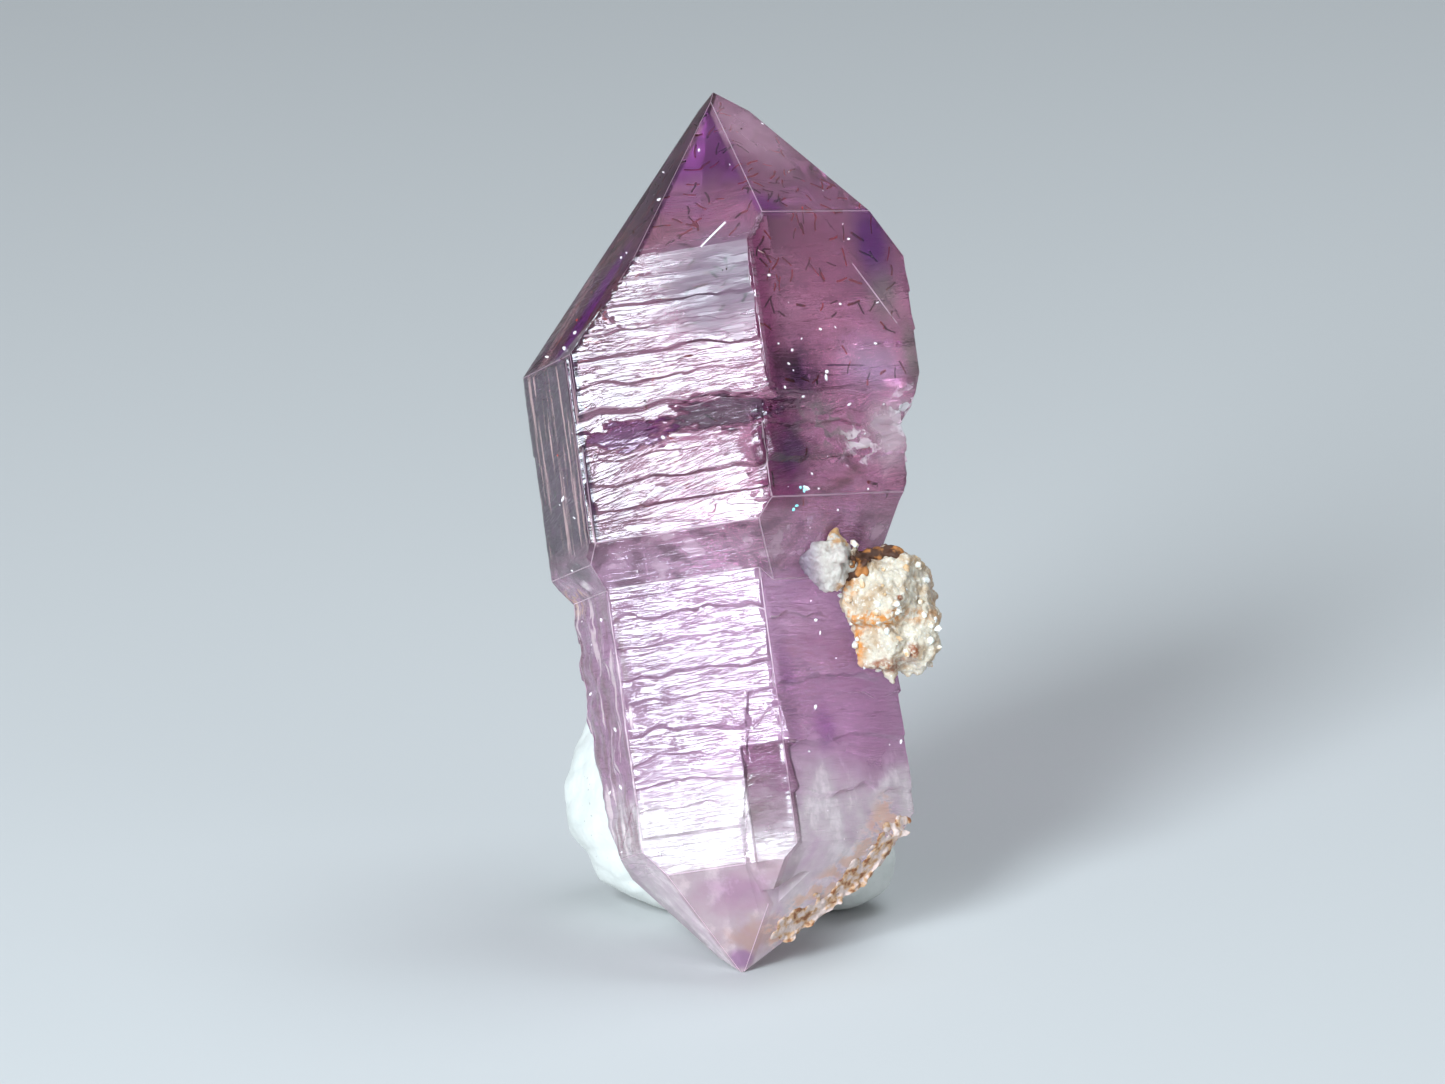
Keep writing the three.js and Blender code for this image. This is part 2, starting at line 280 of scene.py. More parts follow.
class Reading:
    """What leaves one socket of a finish. Sums with it add their own Math nodes."""

    def __init__(self, finish, socket):
        self.finish = finish
        self.socket = socket

    def sum(self, operation, first, second):
        return self.finish.add("Math", {"operation": operation}, {0: first, 1: second})

    def __add__(self, other):
        return self.sum("ADD", self, other)

    def __sub__(self, other):
        return self.sum("SUBTRACT", self, other)

    def __rsub__(self, other):
        return self.sum("SUBTRACT", other, self)

    def __mul__(self, other):
        return self.sum("MULTIPLY", self, other)

    __radd__ = __add__
    __rmul__ = __mul__


class Finish:
    """A material while it is mixed."""

    def __init__(self, name):
        self.material = bpy.data.materials.new(name)
        self.material.use_nodes = True
        self.tree = self.material.node_tree
        self.tree.nodes.clear()
        self.output = self.tree.nodes.new("ShaderNodeOutputMaterial")

    def feed(self, socket, value):
        if isinstance(value, Reading):
            self.tree.links.new(value.socket, socket)
        else:
            socket.default_value = value

    def add(self, kind, settings=None, feeds=None, gives=0):
        """One node: its kind, its settings, what feeds its sockets, and the output that is read."""
        node = self.tree.nodes.new("ShaderNode" + kind)
        for name, value in (settings or {}).items():
            setattr(node, name, value)
        for name, value in (feeds or {}).items():
            self.feed(node.inputs[name], value)
        return Reading(self, node.outputs[gives])

    def mix(self, share, first, second):
        """Two colours, with a share of the second."""
        return self.add("Mix", {"data_type": "RGBA"}, {0: share, 6: first, 7: second}, gives=2)

    def rise(self, value, low, high):
        """Goes softly from 0 at low to 1 at high."""
        return self.add(
            "MapRange", {"interpolation_type": "SMOOTHSTEP"}, {"Value": value, "From Min": low, "From Max": high},
        )

    def part(self, place, axis):
        """How far a place is along one direction: 0 right, 1 back, 2 up."""
        return self.add("SeparateXYZ", None, {0: place}, gives=axis)

    def noise(self, place, scale, detail=2.0, roughness=0.5):
        return self.add("TexNoise", None, {
            "Vector": place, "Scale": scale, "Detail": detail, "Roughness": roughness,
        })

    def stretched(self, place, sizes):
        """The same places, measured in steps of these sizes."""
        return self.add("VectorMath", {"operation": "DIVIDE"}, {0: place, 1: sizes})

    def patch(self, place, middle, sizes, ragged=0.35, grain=1.2, soft=0.5):
        """1 inside a ragged, soft-edged oval patch, and 0 outside it."""
        offset = self.add("VectorMath", {"operation": "SUBTRACT"}, {0: place, 1: middle})
        far = self.add("VectorMath", {"operation": "LENGTH"}, {0: self.stretched(offset, sizes)}, gives="Value")
        far = far + (self.noise(place, grain, 3.0) - 0.5) * (2 * ragged)
        return 1 - self.rise(far, 1.1 - soft, 1.1 + 0.2 * soft)

    def facet(self, place, turns, slope, distance, reach=0.2):
        """1 on one growth face of the crystal, and 0 away from it."""
        azimuth, slope = math.radians(FRONT_FACE_TURN + 60 * turns), math.radians(slope)
        outward = (math.sin(azimuth) * math.cos(slope), -math.cos(azimuth) * math.cos(slope), math.sin(slope))
        far = self.add("VectorMath", {"operation": "DOT_PRODUCT"}, {0: place, 1: outward}, gives="Value") - distance
        return 1 - self.rise(self.add("Math", {"operation": "ABSOLUTE"}, {0: far}), 0.6 * reach, reach)

    def seam(self, place, start, end, width):
        """1 along a thin straight line from one place to another."""
        start, end = Vector(start), Vector(end)
        offset = self.add("VectorMath", {"operation": "SUBTRACT"}, {0: place, 1: start})
        way = (end - start).normalized()
        along_it = self.add("VectorMath", {"operation": "DOT_PRODUCT"}, {0: offset, 1: way}, gives="Value")
        beside = self.add("VectorMath", {"operation": "CROSS_PRODUCT"}, {0: offset, 1: way})
        gap = self.add("VectorMath", {"operation": "LENGTH"}, {0: beside}, gives="Value")
        length = (end - start).length
        within = self.rise(along_it, 0, 0.3) * (1 - self.rise(along_it, length - 0.3, length))
        return within * (1 - self.rise(gap, 0.5 * width, width))

    def wear(self, piece, shader, volume=None):
        """Finishes a piece with this material."""
        self.feed(self.output.inputs["Surface"], shader)
        if volume is not None:
            self.feed(self.output.inputs["Volume"], volume)
        piece.data.materials.clear()
        piece.data.materials.append(self.material)


def crystal_measure(finish):
    """Places on the crystal: millimetres to its right, to its back and up it."""
    return finish.add("Mapping", {"vector_type": "TEXTURE"}, {
        "Vector": finish.add("TexCoord", gives="Object"),
        "Location": lower_tip,
        "Rotation": leaning.to_euler("XYZ"),
        "Scale": (MM, MM, MM),
    })


STEM_LILAC = (0.71, 0.40, 0.62, 1)
BASE_BLUSH = (1.0, 0.92, 0.91, 1)
HEAD_MAUVE = (0.72, 0.30, 0.45, 1)
TIP_VIOLET = (0.28, 0.02, 0.33, 1)
BAND_VIOLET = (0.16, 0.01, 0.30, 1)
PALE_MAUVE = (0.74, 0.52, 0.62, 1)
HEAD_PINK = (0.82, 0.25, 0.42, 1)
ROSY_BROWN = (0.46, 0.18, 0.22, 1)
EDGE_MAGENTA = (0.20, 0.02, 0.09, 1)
SMOKE_BROWN = (0.16, 0.08, 0.06, 1)
SMOKE_GREEN = (0.20, 0.24, 0.17, 1)
PLUM = (0.03, 0.006, 0.04, 1)
PAINTED_LILAC_SHEEN = (0.66, 0.52, 0.74, 1)
PINK_STREAK = (0.80, 0.50, 0.46, 1)
RUST = (0.50, 0.22, 0.07, 1)

amethyst = Finish("clear_amethyst")
spot = crystal_measure(amethyst)
across = amethyst.part(spot, 0)
up = amethyst.part(spot, 2)
cloud = amethyst.noise(spot, 0.32, 3.0)
height = up + (cloud - 0.5) * 5.0
wisps = amethyst.rise(amethyst.noise(amethyst.stretched(spot, (2.0, 2.0, 0.8)), 1.0, 4.0), 0.42, 0.7)
in_head = amethyst.rise(up, 17.5, 19.5)
tint = amethyst.mix(amethyst.rise(height, 6.5, 8.8), BASE_BLUSH, STEM_LILAC)
tint = amethyst.mix(in_head, tint, amethyst.mix(wisps * 0.4, HEAD_MAUVE, PLUM))
veil = 0.08 + 0.14 * (1 - in_head) + 0.18 * (1 - amethyst.rise(height, 6.5, 10.0)) + wisps * 0.06


def zone(strength, colour, haze=0.0):
    """Lays a colour zone over the tint, with a little haze."""
    global tint, veil
    tint = amethyst.mix(strength, tint, colour)
    veil = veil + strength * haze


front_point = amethyst.facet(spot, 0, POINT_SLOPE, POINT_FACES[0])
right_point = amethyst.facet(spot, 1, POINT_SLOPE, POINT_FACES[1])
left_point = amethyst.facet(spot, -1, POINT_SLOPE, POINT_FACES[-1])
upper_right = amethyst.facet(spot, 1, 0, 7.93, 0.16) * amethyst.rise(up, 23.3, 23.7)
right_side = upper_right + amethyst.facet(spot, 1, 0, 7.4, 0.5) * in_head * (1 - amethyst.rise(up, 23.3, 23.7))
left_side = amethyst.facet(spot, -1, 0, 5.0, 0.35) * amethyst.rise(up, 17.5, 19.0)
left_side = left_side * (1 - amethyst.rise(up, 26.4, 26.7))

zone(front_point * amethyst.rise(height, 31.4, 33.6), TIP_VIOLET)
zone(front_point * amethyst.patch(spot, (0.6, -5.0, 31.4), (2.2, 2.6, 1.6), soft=0.9) * 0.8, ROSY_BROWN, 0.05)
zone(right_point * 0.6, (0.62, 0.24, 0.40, 1), 0.02)
zone(right_point * amethyst.patch(spot, (5.4, -1.2, 35.4), (2.8, 2.6, 2.9), soft=1), (0.80, 0.44, 0.58, 1), 0.2)
zone(right_point * amethyst.patch(spot, (5.3, -5.3, 31.7), (1.3, 1.3, 0.8), soft=0.9), TIP_VIOLET)
zone(left_point * 0.9, amethyst.mix(wisps, PLUM, SMOKE_BROWN), 0.03)
zone(left_point * amethyst.patch(spot, (-2.6, -3.0, 28.6), (3.6, 1.1, 3.2), 0.15), BAND_VIOLET)
point_streaks = amethyst.rise(amethyst.noise(amethyst.stretched(spot, (1.6, 0.25, 1.6)), 1.0, 4.0), 0.4, 0.55)
pale_way = amethyst.seam(spot, (-5.2, -0.6, 26.8), (-1.6, 1.0, 31.2), 0.9)
zone(left_point * pale_way * point_streaks, (0.70, 0.42, 0.36, 1), 0.25)
zone(right_side * (1 - amethyst.rise(across, 4.8, 5.8)), EDGE_MAGENTA)
zone(right_side * amethyst.patch(spot, (7.2, -3.8, 29.0), (2.8, 3.2, 2.9), soft=1) * 0.8, HEAD_PINK, 0.05)
zone(right_side * amethyst.patch(spot, (9.7, -1.2, 30.2), (1.3, 1.4, 2.2), 0.15, soft=0.8), BAND_VIOLET)
zone(right_side * amethyst.patch(spot, (9.9, -1.0, 27.7), (1.1, 1.3, 1.5), 0.2, soft=0.9) * 0.8, SMOKE_GREEN, 0.1)
# A painted lilac sheen: a reflection laid on the head's lower right side as colour and haze.
zone(right_side * amethyst.patch(spot, (9.0, -2.0, 24.7), (2.4, 2.4, 1.5), soft=1) * 0.8, PAINTED_LILAC_SHEEN, 0.15)
zone(right_side * amethyst.patch(spot, (10.8, 0.0, 25.2), (0.9, 0.9, 1.9), 0.2, soft=0.8) * 0.9, SMOKE_GREEN)
zone(right_side * amethyst.patch(spot, (5.8, -5.4, 24.4), (2.5, 2.5, 2.1), soft=1), PLUM, -0.08)
zone(right_side * amethyst.patch(spot, (5.2, -5.8, 21.2), (1.7, 2.1, 2.0), soft=0.9), PLUM, -0.08)
dark_foot = amethyst.patch(spot, (7.0, -3.5, 20.2), (2.3, 2.8, 1.5), 0.6, soft=0.9)
zone(right_side * dark_foot * (0.35 + wisps * 0.65), (0.08, 0.03, 0.02, 1), -0.04)
zone(right_side * amethyst.patch(spot, (9.4, -0.8, 22.0), (1.6, 1.8, 1.8), soft=0.8) * 0.8, BASE_BLUSH, 0.25)
cells = amethyst.add("TexVoronoi", {"feature": "F1", "distance": "MANHATTAN"}, {
    "Vector": amethyst.stretched(spot, (0.9, 0.9, 0.5)), "Scale": 1.6, "Randomness": 1.0,
}, gives="Color")
shards = amethyst.rise(amethyst.part(cells, 0), 0.35, 0.75)
zone(amethyst.patch(spot, (10.1, 0.2, 22.8), (1.2, 1.4, 1.2), 0.6, 2.5, 0.6) * shards, (1.0, 0.97, 1.0, 1), 0.6)
zone(amethyst.patch(spot, (8.1, -2.4, 21.4), (1.2, 1.4, 0.9), 0.8, 3.5, 0.6) * shards, (1.0, 0.90, 0.90, 1), 0.55)
zone(amethyst.patch(spot, (6.6, -3.9, 22.3), (1.6, 1.8, 1.1), 0.5, 2.0, 0.6) * shards * 0.8, SMOKE_GREEN, 0.15)
level = amethyst.stretched(spot, (2.2, 2.2, 0.7))
groove = amethyst.patch(level, (1.1, -2.7, 33.2), (1.2, 0.7, 0.9), 1.1, 3.0, 0.3)
purple_dip = amethyst.patch(level, (-0.8, -2.4, 32.6), (0.75, 0.7, 0.9), 1.1, 3.0, 0.3)
zone(groove * 0.9, PLUM)
zone(purple_dip * 0.8, TIP_VIOLET)
zone(amethyst.patch(spot, (3.9, -4.0, 12.0), (0.6, 0.7, 3.4), 0.3, soft=0.9) * 0.85, TIP_VIOLET)
zone(amethyst.patch(spot, (5.0, -2.4, 9.6), (0.7, 0.9, 1.3), 0.4, soft=0.9) * 0.7, TIP_VIOLET)
# The recessed notch on the stem's front face, where shade falls; it is painted as shade further down.
shaded_notch = amethyst.facet(spot, 0, 0, 3.15, 0.3) * amethyst.rise(across, 1.2, 1.35) * (1 - amethyst.rise(up, 9.2, 9.35))
shaded_notch = shaded_notch * amethyst.rise(height, 3.6, 6.4)
veil = veil * (1 - left_point * 0.9 - left_side * 0.6)
left_lines = amethyst.noise(amethyst.stretched(spot, (0.45, 0.45, 4.0)), 1.0, 3.0)
streaks = amethyst.rise(left_lines, 0.53, 0.68)
zone(left_side, amethyst.mix(streaks, (0.04, 0.008, 0.05, 1), PINK_STREAK))
veil = veil + left_side * streaks * 0.35
zone(amethyst.patch(spot, (-3.9, -1.3, 17.8), (1.4, 1.8, 0.6), 0.4, 1.6, 0.5) * 0.9, PLUM)
zone(amethyst.patch(spot, (-4.3, -0.8, 17.15), (0.35, 0.6, 0.3), 0.5, 2.5, 0.8), (0.95, 0.85, 0.85, 1), 0.35)
specked = amethyst.rise(amethyst.noise(spot, 3.0, 4.0), 0.48, 0.58)
zone(amethyst.patch(spot, (-4.9, 1.6, 16.7), (1.0, 2.2, 0.7), 0.8, 2.2, 0.8) * specked, RUST, 0.4)
left_stem = amethyst.facet(spot, -1, 0, 4.04, 0.4) * amethyst.rise(up, 5.0, 6.0) * (1 - amethyst.rise(up, 16.4, 16.9))
stem_lines = amethyst.noise(amethyst.stretched(spot, (0.5, 0.5, 3.5)), 1.0, 3.0)
zone(left_stem * amethyst.rise(stem_lines, 0.5, 0.6) * 0.8, (0.42, 0.24, 0.26, 1))
zone(left_stem * (1 - amethyst.rise(stem_lines, 0.36, 0.44)) * 0.7, (1.0, 0.85, 0.80, 1), 0.4)
in_base = 1 - amethyst.rise(height, 7.0, 9.5)
curls = amethyst.noise(amethyst.stretched(spot, (1.1, 1.1, 1.6)), 1.0, 5.0, 0.6)
zone(in_base * amethyst.rise(curls, 0.45, 0.75) * 0.6, (0.66, 0.42, 0.60, 1))
zone(in_base * (1 - amethyst.rise(curls, 0.32, 0.5)) * 0.5, BASE_BLUSH, 0.4)
zone(amethyst.facet(spot, 0, -36, 0, 0.3) * (0.4 + wisps * 0.3), (0.52, 0.30, 0.32, 1), -0.05)
# Painted shade in the recessed notch: smoky brown colour and less milky haze.
zone(shaded_notch * (0.6 + wisps * 0.3), amethyst.mix(wisps, (0.40, 0.20, 0.28, 1), SMOKE_BROWN))
veil = veil * (1 - shaded_notch * 0.65)
band = amethyst.rise(up, 16.2, 16.9) * (1 - amethyst.rise(up, 18.4, 18.9))
blotches = amethyst.noise(spot, 0.9, 4.0)
zone(band * amethyst.rise(across, -1.0, 3.5) * 0.5, (0.42, 0.22, 0.26, 1))
zone(band * amethyst.rise(blotches, 0.5, 0.6) * 0.8, (0.17, 0.06, 0.12, 1))
zone(band * (1 - amethyst.rise(blotches, 0.34, 0.46)) * 0.6, PALE_MAUVE, 0.25)
zone(amethyst.patch(spot, (0.1, -2.6, 3.3), (1.8, 1.6, 1.1), 0.6, 1.2, 0.9) * 0.8, (0.50, 0.22, 0.40, 1))
zone(amethyst.patch(spot, (1.0, -1.0, 1.4), (1.6, 1.2, 0.9), 0.8, 1.8, 0.8) * 0.6, RUST, 0.1)
zone(amethyst.patch(spot, (0.1, -0.5, 0.5), (0.6, 0.6, 0.5)) * 0.7, TIP_VIOLET)
rusty_way = amethyst.seam(spot, (8.0, 0.5, 5.9), (1.4, -0.6, 0.8), 1.7)
rusty_film = amethyst.rise(amethyst.noise(amethyst.stretched(spot, (0.8, 0.8, 0.5)), 1.0, 5.0, 0.6), 0.43, 0.55)
zone(rusty_way * rusty_film * 0.8, (0.55, 0.24, 0.09, 1), 0.5)
crack = amethyst.seam(spot, (8.5, -2.55, 29.5), (10.4, -0.55, 26.4), 0.05)
zone(crack * amethyst.rise(blotches, 0.35, 0.5), PALE_MAUVE, 0.4)
zone(amethyst.seam(spot, (6.9, -4.28, 24.8), (8.8, -2.3, 24.75), 0.05), PLUM)
# The marked bevel faces: rougher as real wear, and painted pale mauve with haze as a highlight along the edges.
edge = amethyst.add("Attribute", {"attribute_type": "GEOMETRY", "attribute_name": "worn_highlit_edge"}, gives="Fac")
zone(edge, PALE_MAUVE, 0.25)

on_sides = amethyst.rise(up, 4.0, 5.0) * (1 - amethyst.rise(up, 30.5, 31.0))
on_sides = on_sides * (1 - upper_right * 0.85)
slant = amethyst.rise(up, 19.0, 19.6) * (1 - amethyst.rise(up, 23.0, 25.0))
slanted = amethyst.add("CombineXYZ", None, {
    0: across,
    1: amethyst.part(spot, 1),
    2: up - across * slant * 0.25,
})
broad = amethyst.noise(amethyst.stretched(slanted, (2.4, 2.4, 0.32)), 1.0, 3.0)
fine = amethyst.noise(amethyst.stretched(slanted, (1.5, 1.5, 0.13)), 1.0, 3.0)
lines = amethyst.rise(broad, 0.46, 0.54) * 0.6 + amethyst.rise(fine, 0.45, 0.55) * 0.4
# Where the glare on the head's upper front looks dull grey-blue: a painted grey-blue reflection tone, with a rougher
# surface and weaker growth lines.
dull_glare_patch = amethyst.patch(spot, (3.0, -6.5, 28.7), (3.6, 2.2, 2.7), 0.3, 0.8, 0.8) * (1 - upper_right)
zone(dull_glare_patch * 0.85, (0.24, 0.23, 0.32, 1))
line_height = lines * on_sides * (1 - dull_glare_patch * 0.5) * (0.03 - in_head * 0.006)
relief_height = line_height + (groove + purple_dip) * (up - 22) * 0.4 + shaded_notch * (across - 2.1) * 0.17
grain = amethyst.add("Bump", None, {"Strength": 1.0, "Distance": MM, "Height": relief_height})
haze = amethyst.rise(amethyst.noise(spot, 1.3, 4.0), 0.5, 0.8)
base_frost = 1 - amethyst.rise(height, 6.0, 10.0)
polish = 0.03 + haze * 0.05 + on_sides * 0.05
polish = polish + dull_glare_patch * (0.6 - lines * 0.35) + base_frost * 0.16 + edge * 0.3
glass = amethyst.add("BsdfPrincipled", None, {
    "Base Color": tint,
    "Roughness": polish,
    "IOR": QUARTZ_IOR,
    "Transmission Weight": 1.0,
    "Normal": grain,
})
milky_quartz = amethyst.add("BsdfPrincipled", None, {
    "Base Color": amethyst.mix(0.5, tint, amethyst.mix(0.5, tint, (0.85, 0.68, 0.74, 1))),
    "Roughness": 0.3,
    "IOR": QUARTZ_IOR,
    "Normal": grain,
})
clouded = amethyst.add("MixShader", None, {0: veil, 1: glass, 2: milky_quartz})
depth = amethyst.add("VolumeAbsorption", None, {"Color": (0.55, 0.20, 0.50, 1), "Density": 20.0})
amethyst.wear(crystal, clouded, depth)
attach(crystal, "root")
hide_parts("amethyst_crystal")

# Under the faces: hair-thin dark red needles and hooks of iron oxide that the growing crystal
# closed over. White specks, one bright needle and a pale bent fibre lie half in its surface.

chance = random.Random(7)
crystal_skin = BVHTree.FromObject(crystal, bpy.context.evaluated_depsgraph_get())


def strewn(one, name, places):
    """Copies of one small piece, each at its own place, size and turn, as a single piece."""
    copies = []
    for place in places:
        copy = one.copy()
        copy.data = one.data.copy()
        copy.matrix_world = place
        bpy.context.collection.objects.link(copy)
        copies.append(copy)
    bpy.data.objects.remove(one)
    take_up(*copies)
    bpy.ops.object.join()
    whole = bpy.context.object
    bpy.ops.object.transform_apply(location=True, rotation=True, scale=True)
    whole.name = whole.data.name = name
    return whole


def stray(spread=1.0):
    """A random step, in any direction."""
    return Vector((chance.gauss(0, spread), chance.gauss(0, spread), chance.gauss(0, spread)))


def facing(way):
    """The turn that stands a piece up along a direction."""
    return way.to_track_quat("Z", "Y").to_matrix().to_4x4()


def any_turn():
    """A turn to a random direction."""
    return facing(stray()) @ Matrix.Rotation(chance.uniform(0, ALL_ROUND), 4, "Z")


def depth_at(point):
    """How deep a point is under the crystal's nearest face, and where that face looks."""
    surface, normal, _, _ = crystal_skin.find_nearest(point)
    gap = surface - point
    return (gap.length if gap.normalized().dot(normal) > 0.9 else -gap.length) / MM, normal


def inside(low, high, shallow, deep, reach=0.0):
    """A random place behind the front faces between two heights, and the turn of what lies there:
    nearly level with the face above it, with both ends of its middle line inside."""
    while True:
        point = in_crystal(chance.uniform(-5, 11), chance.uniform(-7, 3), chance.uniform(low, high))
        depth_below, normal = depth_at(point)
        if normal.dot(Vector((0, -1, 0.2))) < 0.1 or not shallow < depth_below < deep:
            continue
        way = normal.orthogonal().normalized()
        way.rotate(Quaternion(normal, chance.uniform(0, ALL_ROUND)))
        way = (way + normal * chance.uniform(-0.25, 0.25)).normalized()
        ends = (point + way * reach * MM, point - way * reach * MM)
        if min(depth_at(end)[0] for end in ends) > 0.05:
            return Matrix.Translation(point) @ facing(way)


def hooked_rod(name, radius, lengths, bend, sides=5):
    """A thin rod that is extruded link by link, each turned a little further."""
    bpy.ops.object.select_all(action="DESELECT")
    bpy.ops.mesh.primitive_cylinder_add(vertices=sides, radius=radius * MM, depth=lengths[0] * MM)
    rod = bpy.context.object
    rod.name = name
    for length in lengths[1:]:
        top = max(vertex.co.z for vertex in rod.data.vertices)
        select_faces(rod, lambda face: face.index == end_face(rod))
        bpy.ops.mesh.extrude_region_move(TRANSFORM_OT_translate={"value": (0, 0, length * MM)})
        bpy.ops.mesh.select_mode(type="FACE")
        bpy.ops.transform.rotate(value=math.radians(bend), orient_axis="Y", center_override=(0, 0, top))
        bpy.ops.object.mode_set(mode="OBJECT")
    return rod


def end_face(rod):
    """The face at the free end of a rod."""
    return max(rod.data.polygons, key=lambda face: face.center.z - 100 * (len(face.vertices) == 4)).index


needle = hooked_rod("needle", 0.042, [0.26, 0.2, 0.12], 20)
needle_places = []
for low, high, count in ((31.3, 37, 130), (27, 31.3, 130), (19, 27, 50)):
    for _ in range(count):
        size = chance.uniform(0.6, 1.5)
        place = inside(low, high, 0.1, 0.45, 0.35 * size)
        width = chance.uniform(0.8, 1.4)
        needle_places.append(place @ Matrix.Diagonal((width, width, size, 1)))
needles = strewn(needle, "Red_Needles", needle_places)

iron_red = Finish("iron_red")
shade = iron_red.noise(iron_red.add("TexCoord", gives="Object"), 900.0)
iron_red.wear(needles, iron_red.add("BsdfPrincipled", None, {
    "Base Color": iron_red.mix(iron_red.rise(shade, 0.4, 0.6), (0.03, 0.003, 0.006, 1), (0.45, 0.04, 0.03, 1)),
    "Roughness": 0.35,
}))
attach(needles, "root")

bpy.ops.object.select_all(action="DESELECT")
bpy.ops.mesh.primitive_ico_sphere_add(subdivisions=1, radius=0.05 * MM)
speck = bpy.context.object
speck_places = []
for low, high, count in ((31, 36, 8), (24, 31, 22), (17, 24, 30), (5, 16, 36)):
    for _ in range(count):
        size = chance.uniform(0.5, 1.05) ** 3 * 2.0
        surface, normal, _, _ = crystal_skin.find_nearest(inside(low, high, 0.12, 0.5).translation)
        longer = chance.uniform(1, 2.6)
        sizes = Matrix.Diagonal((size, 0.6 * size, longer * size, 1))
        speck_places.append(Matrix.Translation(surface) @ any_turn() @ sizes)
LARGE_SPECKS = (
    (4.9, -5.1, 19.0), (4.85, -5.2, 18.75), (4.95, -5.0, 19.65), (5.1, -4.9, 19.5), (5.07, -6.22, 28.69),
    (7.95, -3.16, 27.4), (6.94, -4.23, 26.34), (5.62, -5.64, 25.47), (4.3, -6.77, 24.29), (5.0, -6.1, 23.9),
    (5.3, -5.8, 24.9), (5.9, -5.3, 23.4),
)
for place in LARGE_SPECKS:
    surface, normal, _, _ = crystal_skin.find_nearest(in_crystal(*place))
    size = chance.uniform(1.2, 1.9)
    speck_places.append(Matrix.Translation(surface) @ any_turn() @ Matrix.Diagonal((size, 0.7 * size, 1.3 * size, 1)))
specks = strewn(speck, "White_Specks", speck_places)


def laid_rod(name, radius, start, end, links, bend, sides=6):
    """A rod that lies half in the surface from one place to another."""
    start, end = (crystal_skin.find_nearest(in_crystal(*place))[0] for place in (start, end))
    far = (end - start).length / MM
    rod = hooked_rod(name, radius, [far / links] * links, bend, sides)
    rod.matrix_world = Matrix.Translation(start.lerp(end, 0.5 / links)) @ facing(end - start)
    take_up(rod)
    bpy.ops.object.transform_apply(location=True, rotation=True, scale=True)
    return rod


bright_needle = laid_rod("Bright_Needle", 0.05, (2.39, -6.33, 30.24), (3.54, -5.84, 31.21), 2, 2)
pale_fibre = laid_rod("Pale_Fibre", 0.022, (4.75, -6.57, 29.76), (5.6, -5.7, 29.25), 5, -12)

chalk = Finish("chalk_white")
spot = crystal_measure(chalk)
colour = chalk.mix(chalk.noise(spot, 0.7), (0.9, 0.78, 0.82, 1), (1, 1, 1, 1))
colour = chalk.mix(chalk.patch(spot, (4.9, -5.1, 19.2), (0.7, 0.7, 0.8), 0.1), colour, (0.30, 0.90, 0.95, 1))
colour = chalk.mix(chalk.patch(spot, (5.2, -6.1, 29.5), (0.9, 0.9, 0.7), 0.1), colour, (0.50, 0.30, 0.28, 1))
chalk.wear(specks, chalk.add("BsdfPrincipled", None, {"Base Color": colour, "Roughness": 0.3}))
bright_needle.data.materials.append(chalk.material)
pale_fibre.data.materials.append(chalk.material)
for piece in (specks, bright_needle, pale_fibre):
    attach(piece, "root")

# Healed fractures: thin crumpled sheets inside the crystal that flash white, at the lower right
# of the head, behind the left shoulder and in the pale base.

bpy.ops.object.select_all(action="DESELECT")
bpy.ops.mesh.primitive_grid_add(x_subdivisions=14, y_subdivisions=14, size=MM)
sheet = bpy.context.object
sheet_places = []
for middle, spread, size, count in (
    ((9.2, -1.4, 22.2), 0.9, 0.9, 9), ((7.6, -2.9, 21.4), 0.7, 0.8, 6), ((6.3, -4.2, 23.4), 0.5, 0.6, 3),
    ((-3.9, -0.4, 17.2), 0.4, 0.6, 3), ((2.4, -0.4, 3.4), 1.0, 1.6, 6), ((4.6, -0.4, 6.0), 1.0, 1.8, 5),
    ((0.6, -0.9, 2.4), 0.6, 1.0, 4), ((4.4, -1.6, 9.0), 1.0, 1.4, 3),
):
    while count:
        point = in_crystal(*(part + chance.gauss(0, 0.5) * spread for part in middle))
        if depth_at(point)[0] > 0.55 * size:
            stretch = Matrix.Diagonal((size * chance.uniform(0.6, 1.3), size * chance.uniform(0.4, 1), size, 1))
            sheet_places.append(Matrix.Translation(point) @ any_turn() @ stretch)
            count -= 1
veils = strewn(sheet, "Healed_Fractures", sheet_places)
push(veils, relief("crumpled", "CLOUDS", noise_depth=2), 0.3, (0.5, 0.5, 0.5))
take_up(veils)
bpy.ops.object.shade_smooth()

healed = Finish("healed_fracture")
spot = crystal_measure(healed)
holes = healed.rise(healed.noise(spot, 2.6, 4.0), 0.44, 0.62)
healed.wear(veils, healed.add("BsdfPrincipled", None, {
    "Base Color": healed.mix(healed.noise(spot, 1.5), (1.0, 0.86, 0.88, 1), (0.95, 0.93, 1.0, 1)),
    "Roughness": 0.15 + holes * 0.3,
    "Alpha": holes * 0.75,
}))
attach(veils, "root")

# The cluster on the right: cream, sugary quartz and feldspar grains grown together, with
# rusty bands and a dark brown crust where it meets the crystal.

cluster = merged_copy("matrix_cluster", "Matrix_Cluster")
bpy.ops.object.mode_set(mode="EDIT")
bpy.ops.mesh.select_all(action="SELECT")
bpy.ops.mesh.bisect(
    plane_co=in_crystal(6.7, -2.4, 16.0), plane_no=leaning @ Vector((-0.94, 0, 0.34)),
    use_fill=True, clear_outer=True,
)
bpy.ops.object.mode_set(mode="OBJECT")
melt(cluster, 0.07, 9)
push(cluster, relief("cluster_lumps", "CLOUDS", noise_depth=2), 0.2, (0.7, 0.7, 0.7))
push(cluster, relief("cluster_grains", "VORONOI"), -0.13, (0.3, 0.3, 0.3))
push(cluster, relief("cluster_sugar", "VORONOI"), -0.06, (0.14, 0.14, 0.14))
take_up(cluster)
bpy.ops.object.shade_smooth_by_angle(angle=math.radians(35))

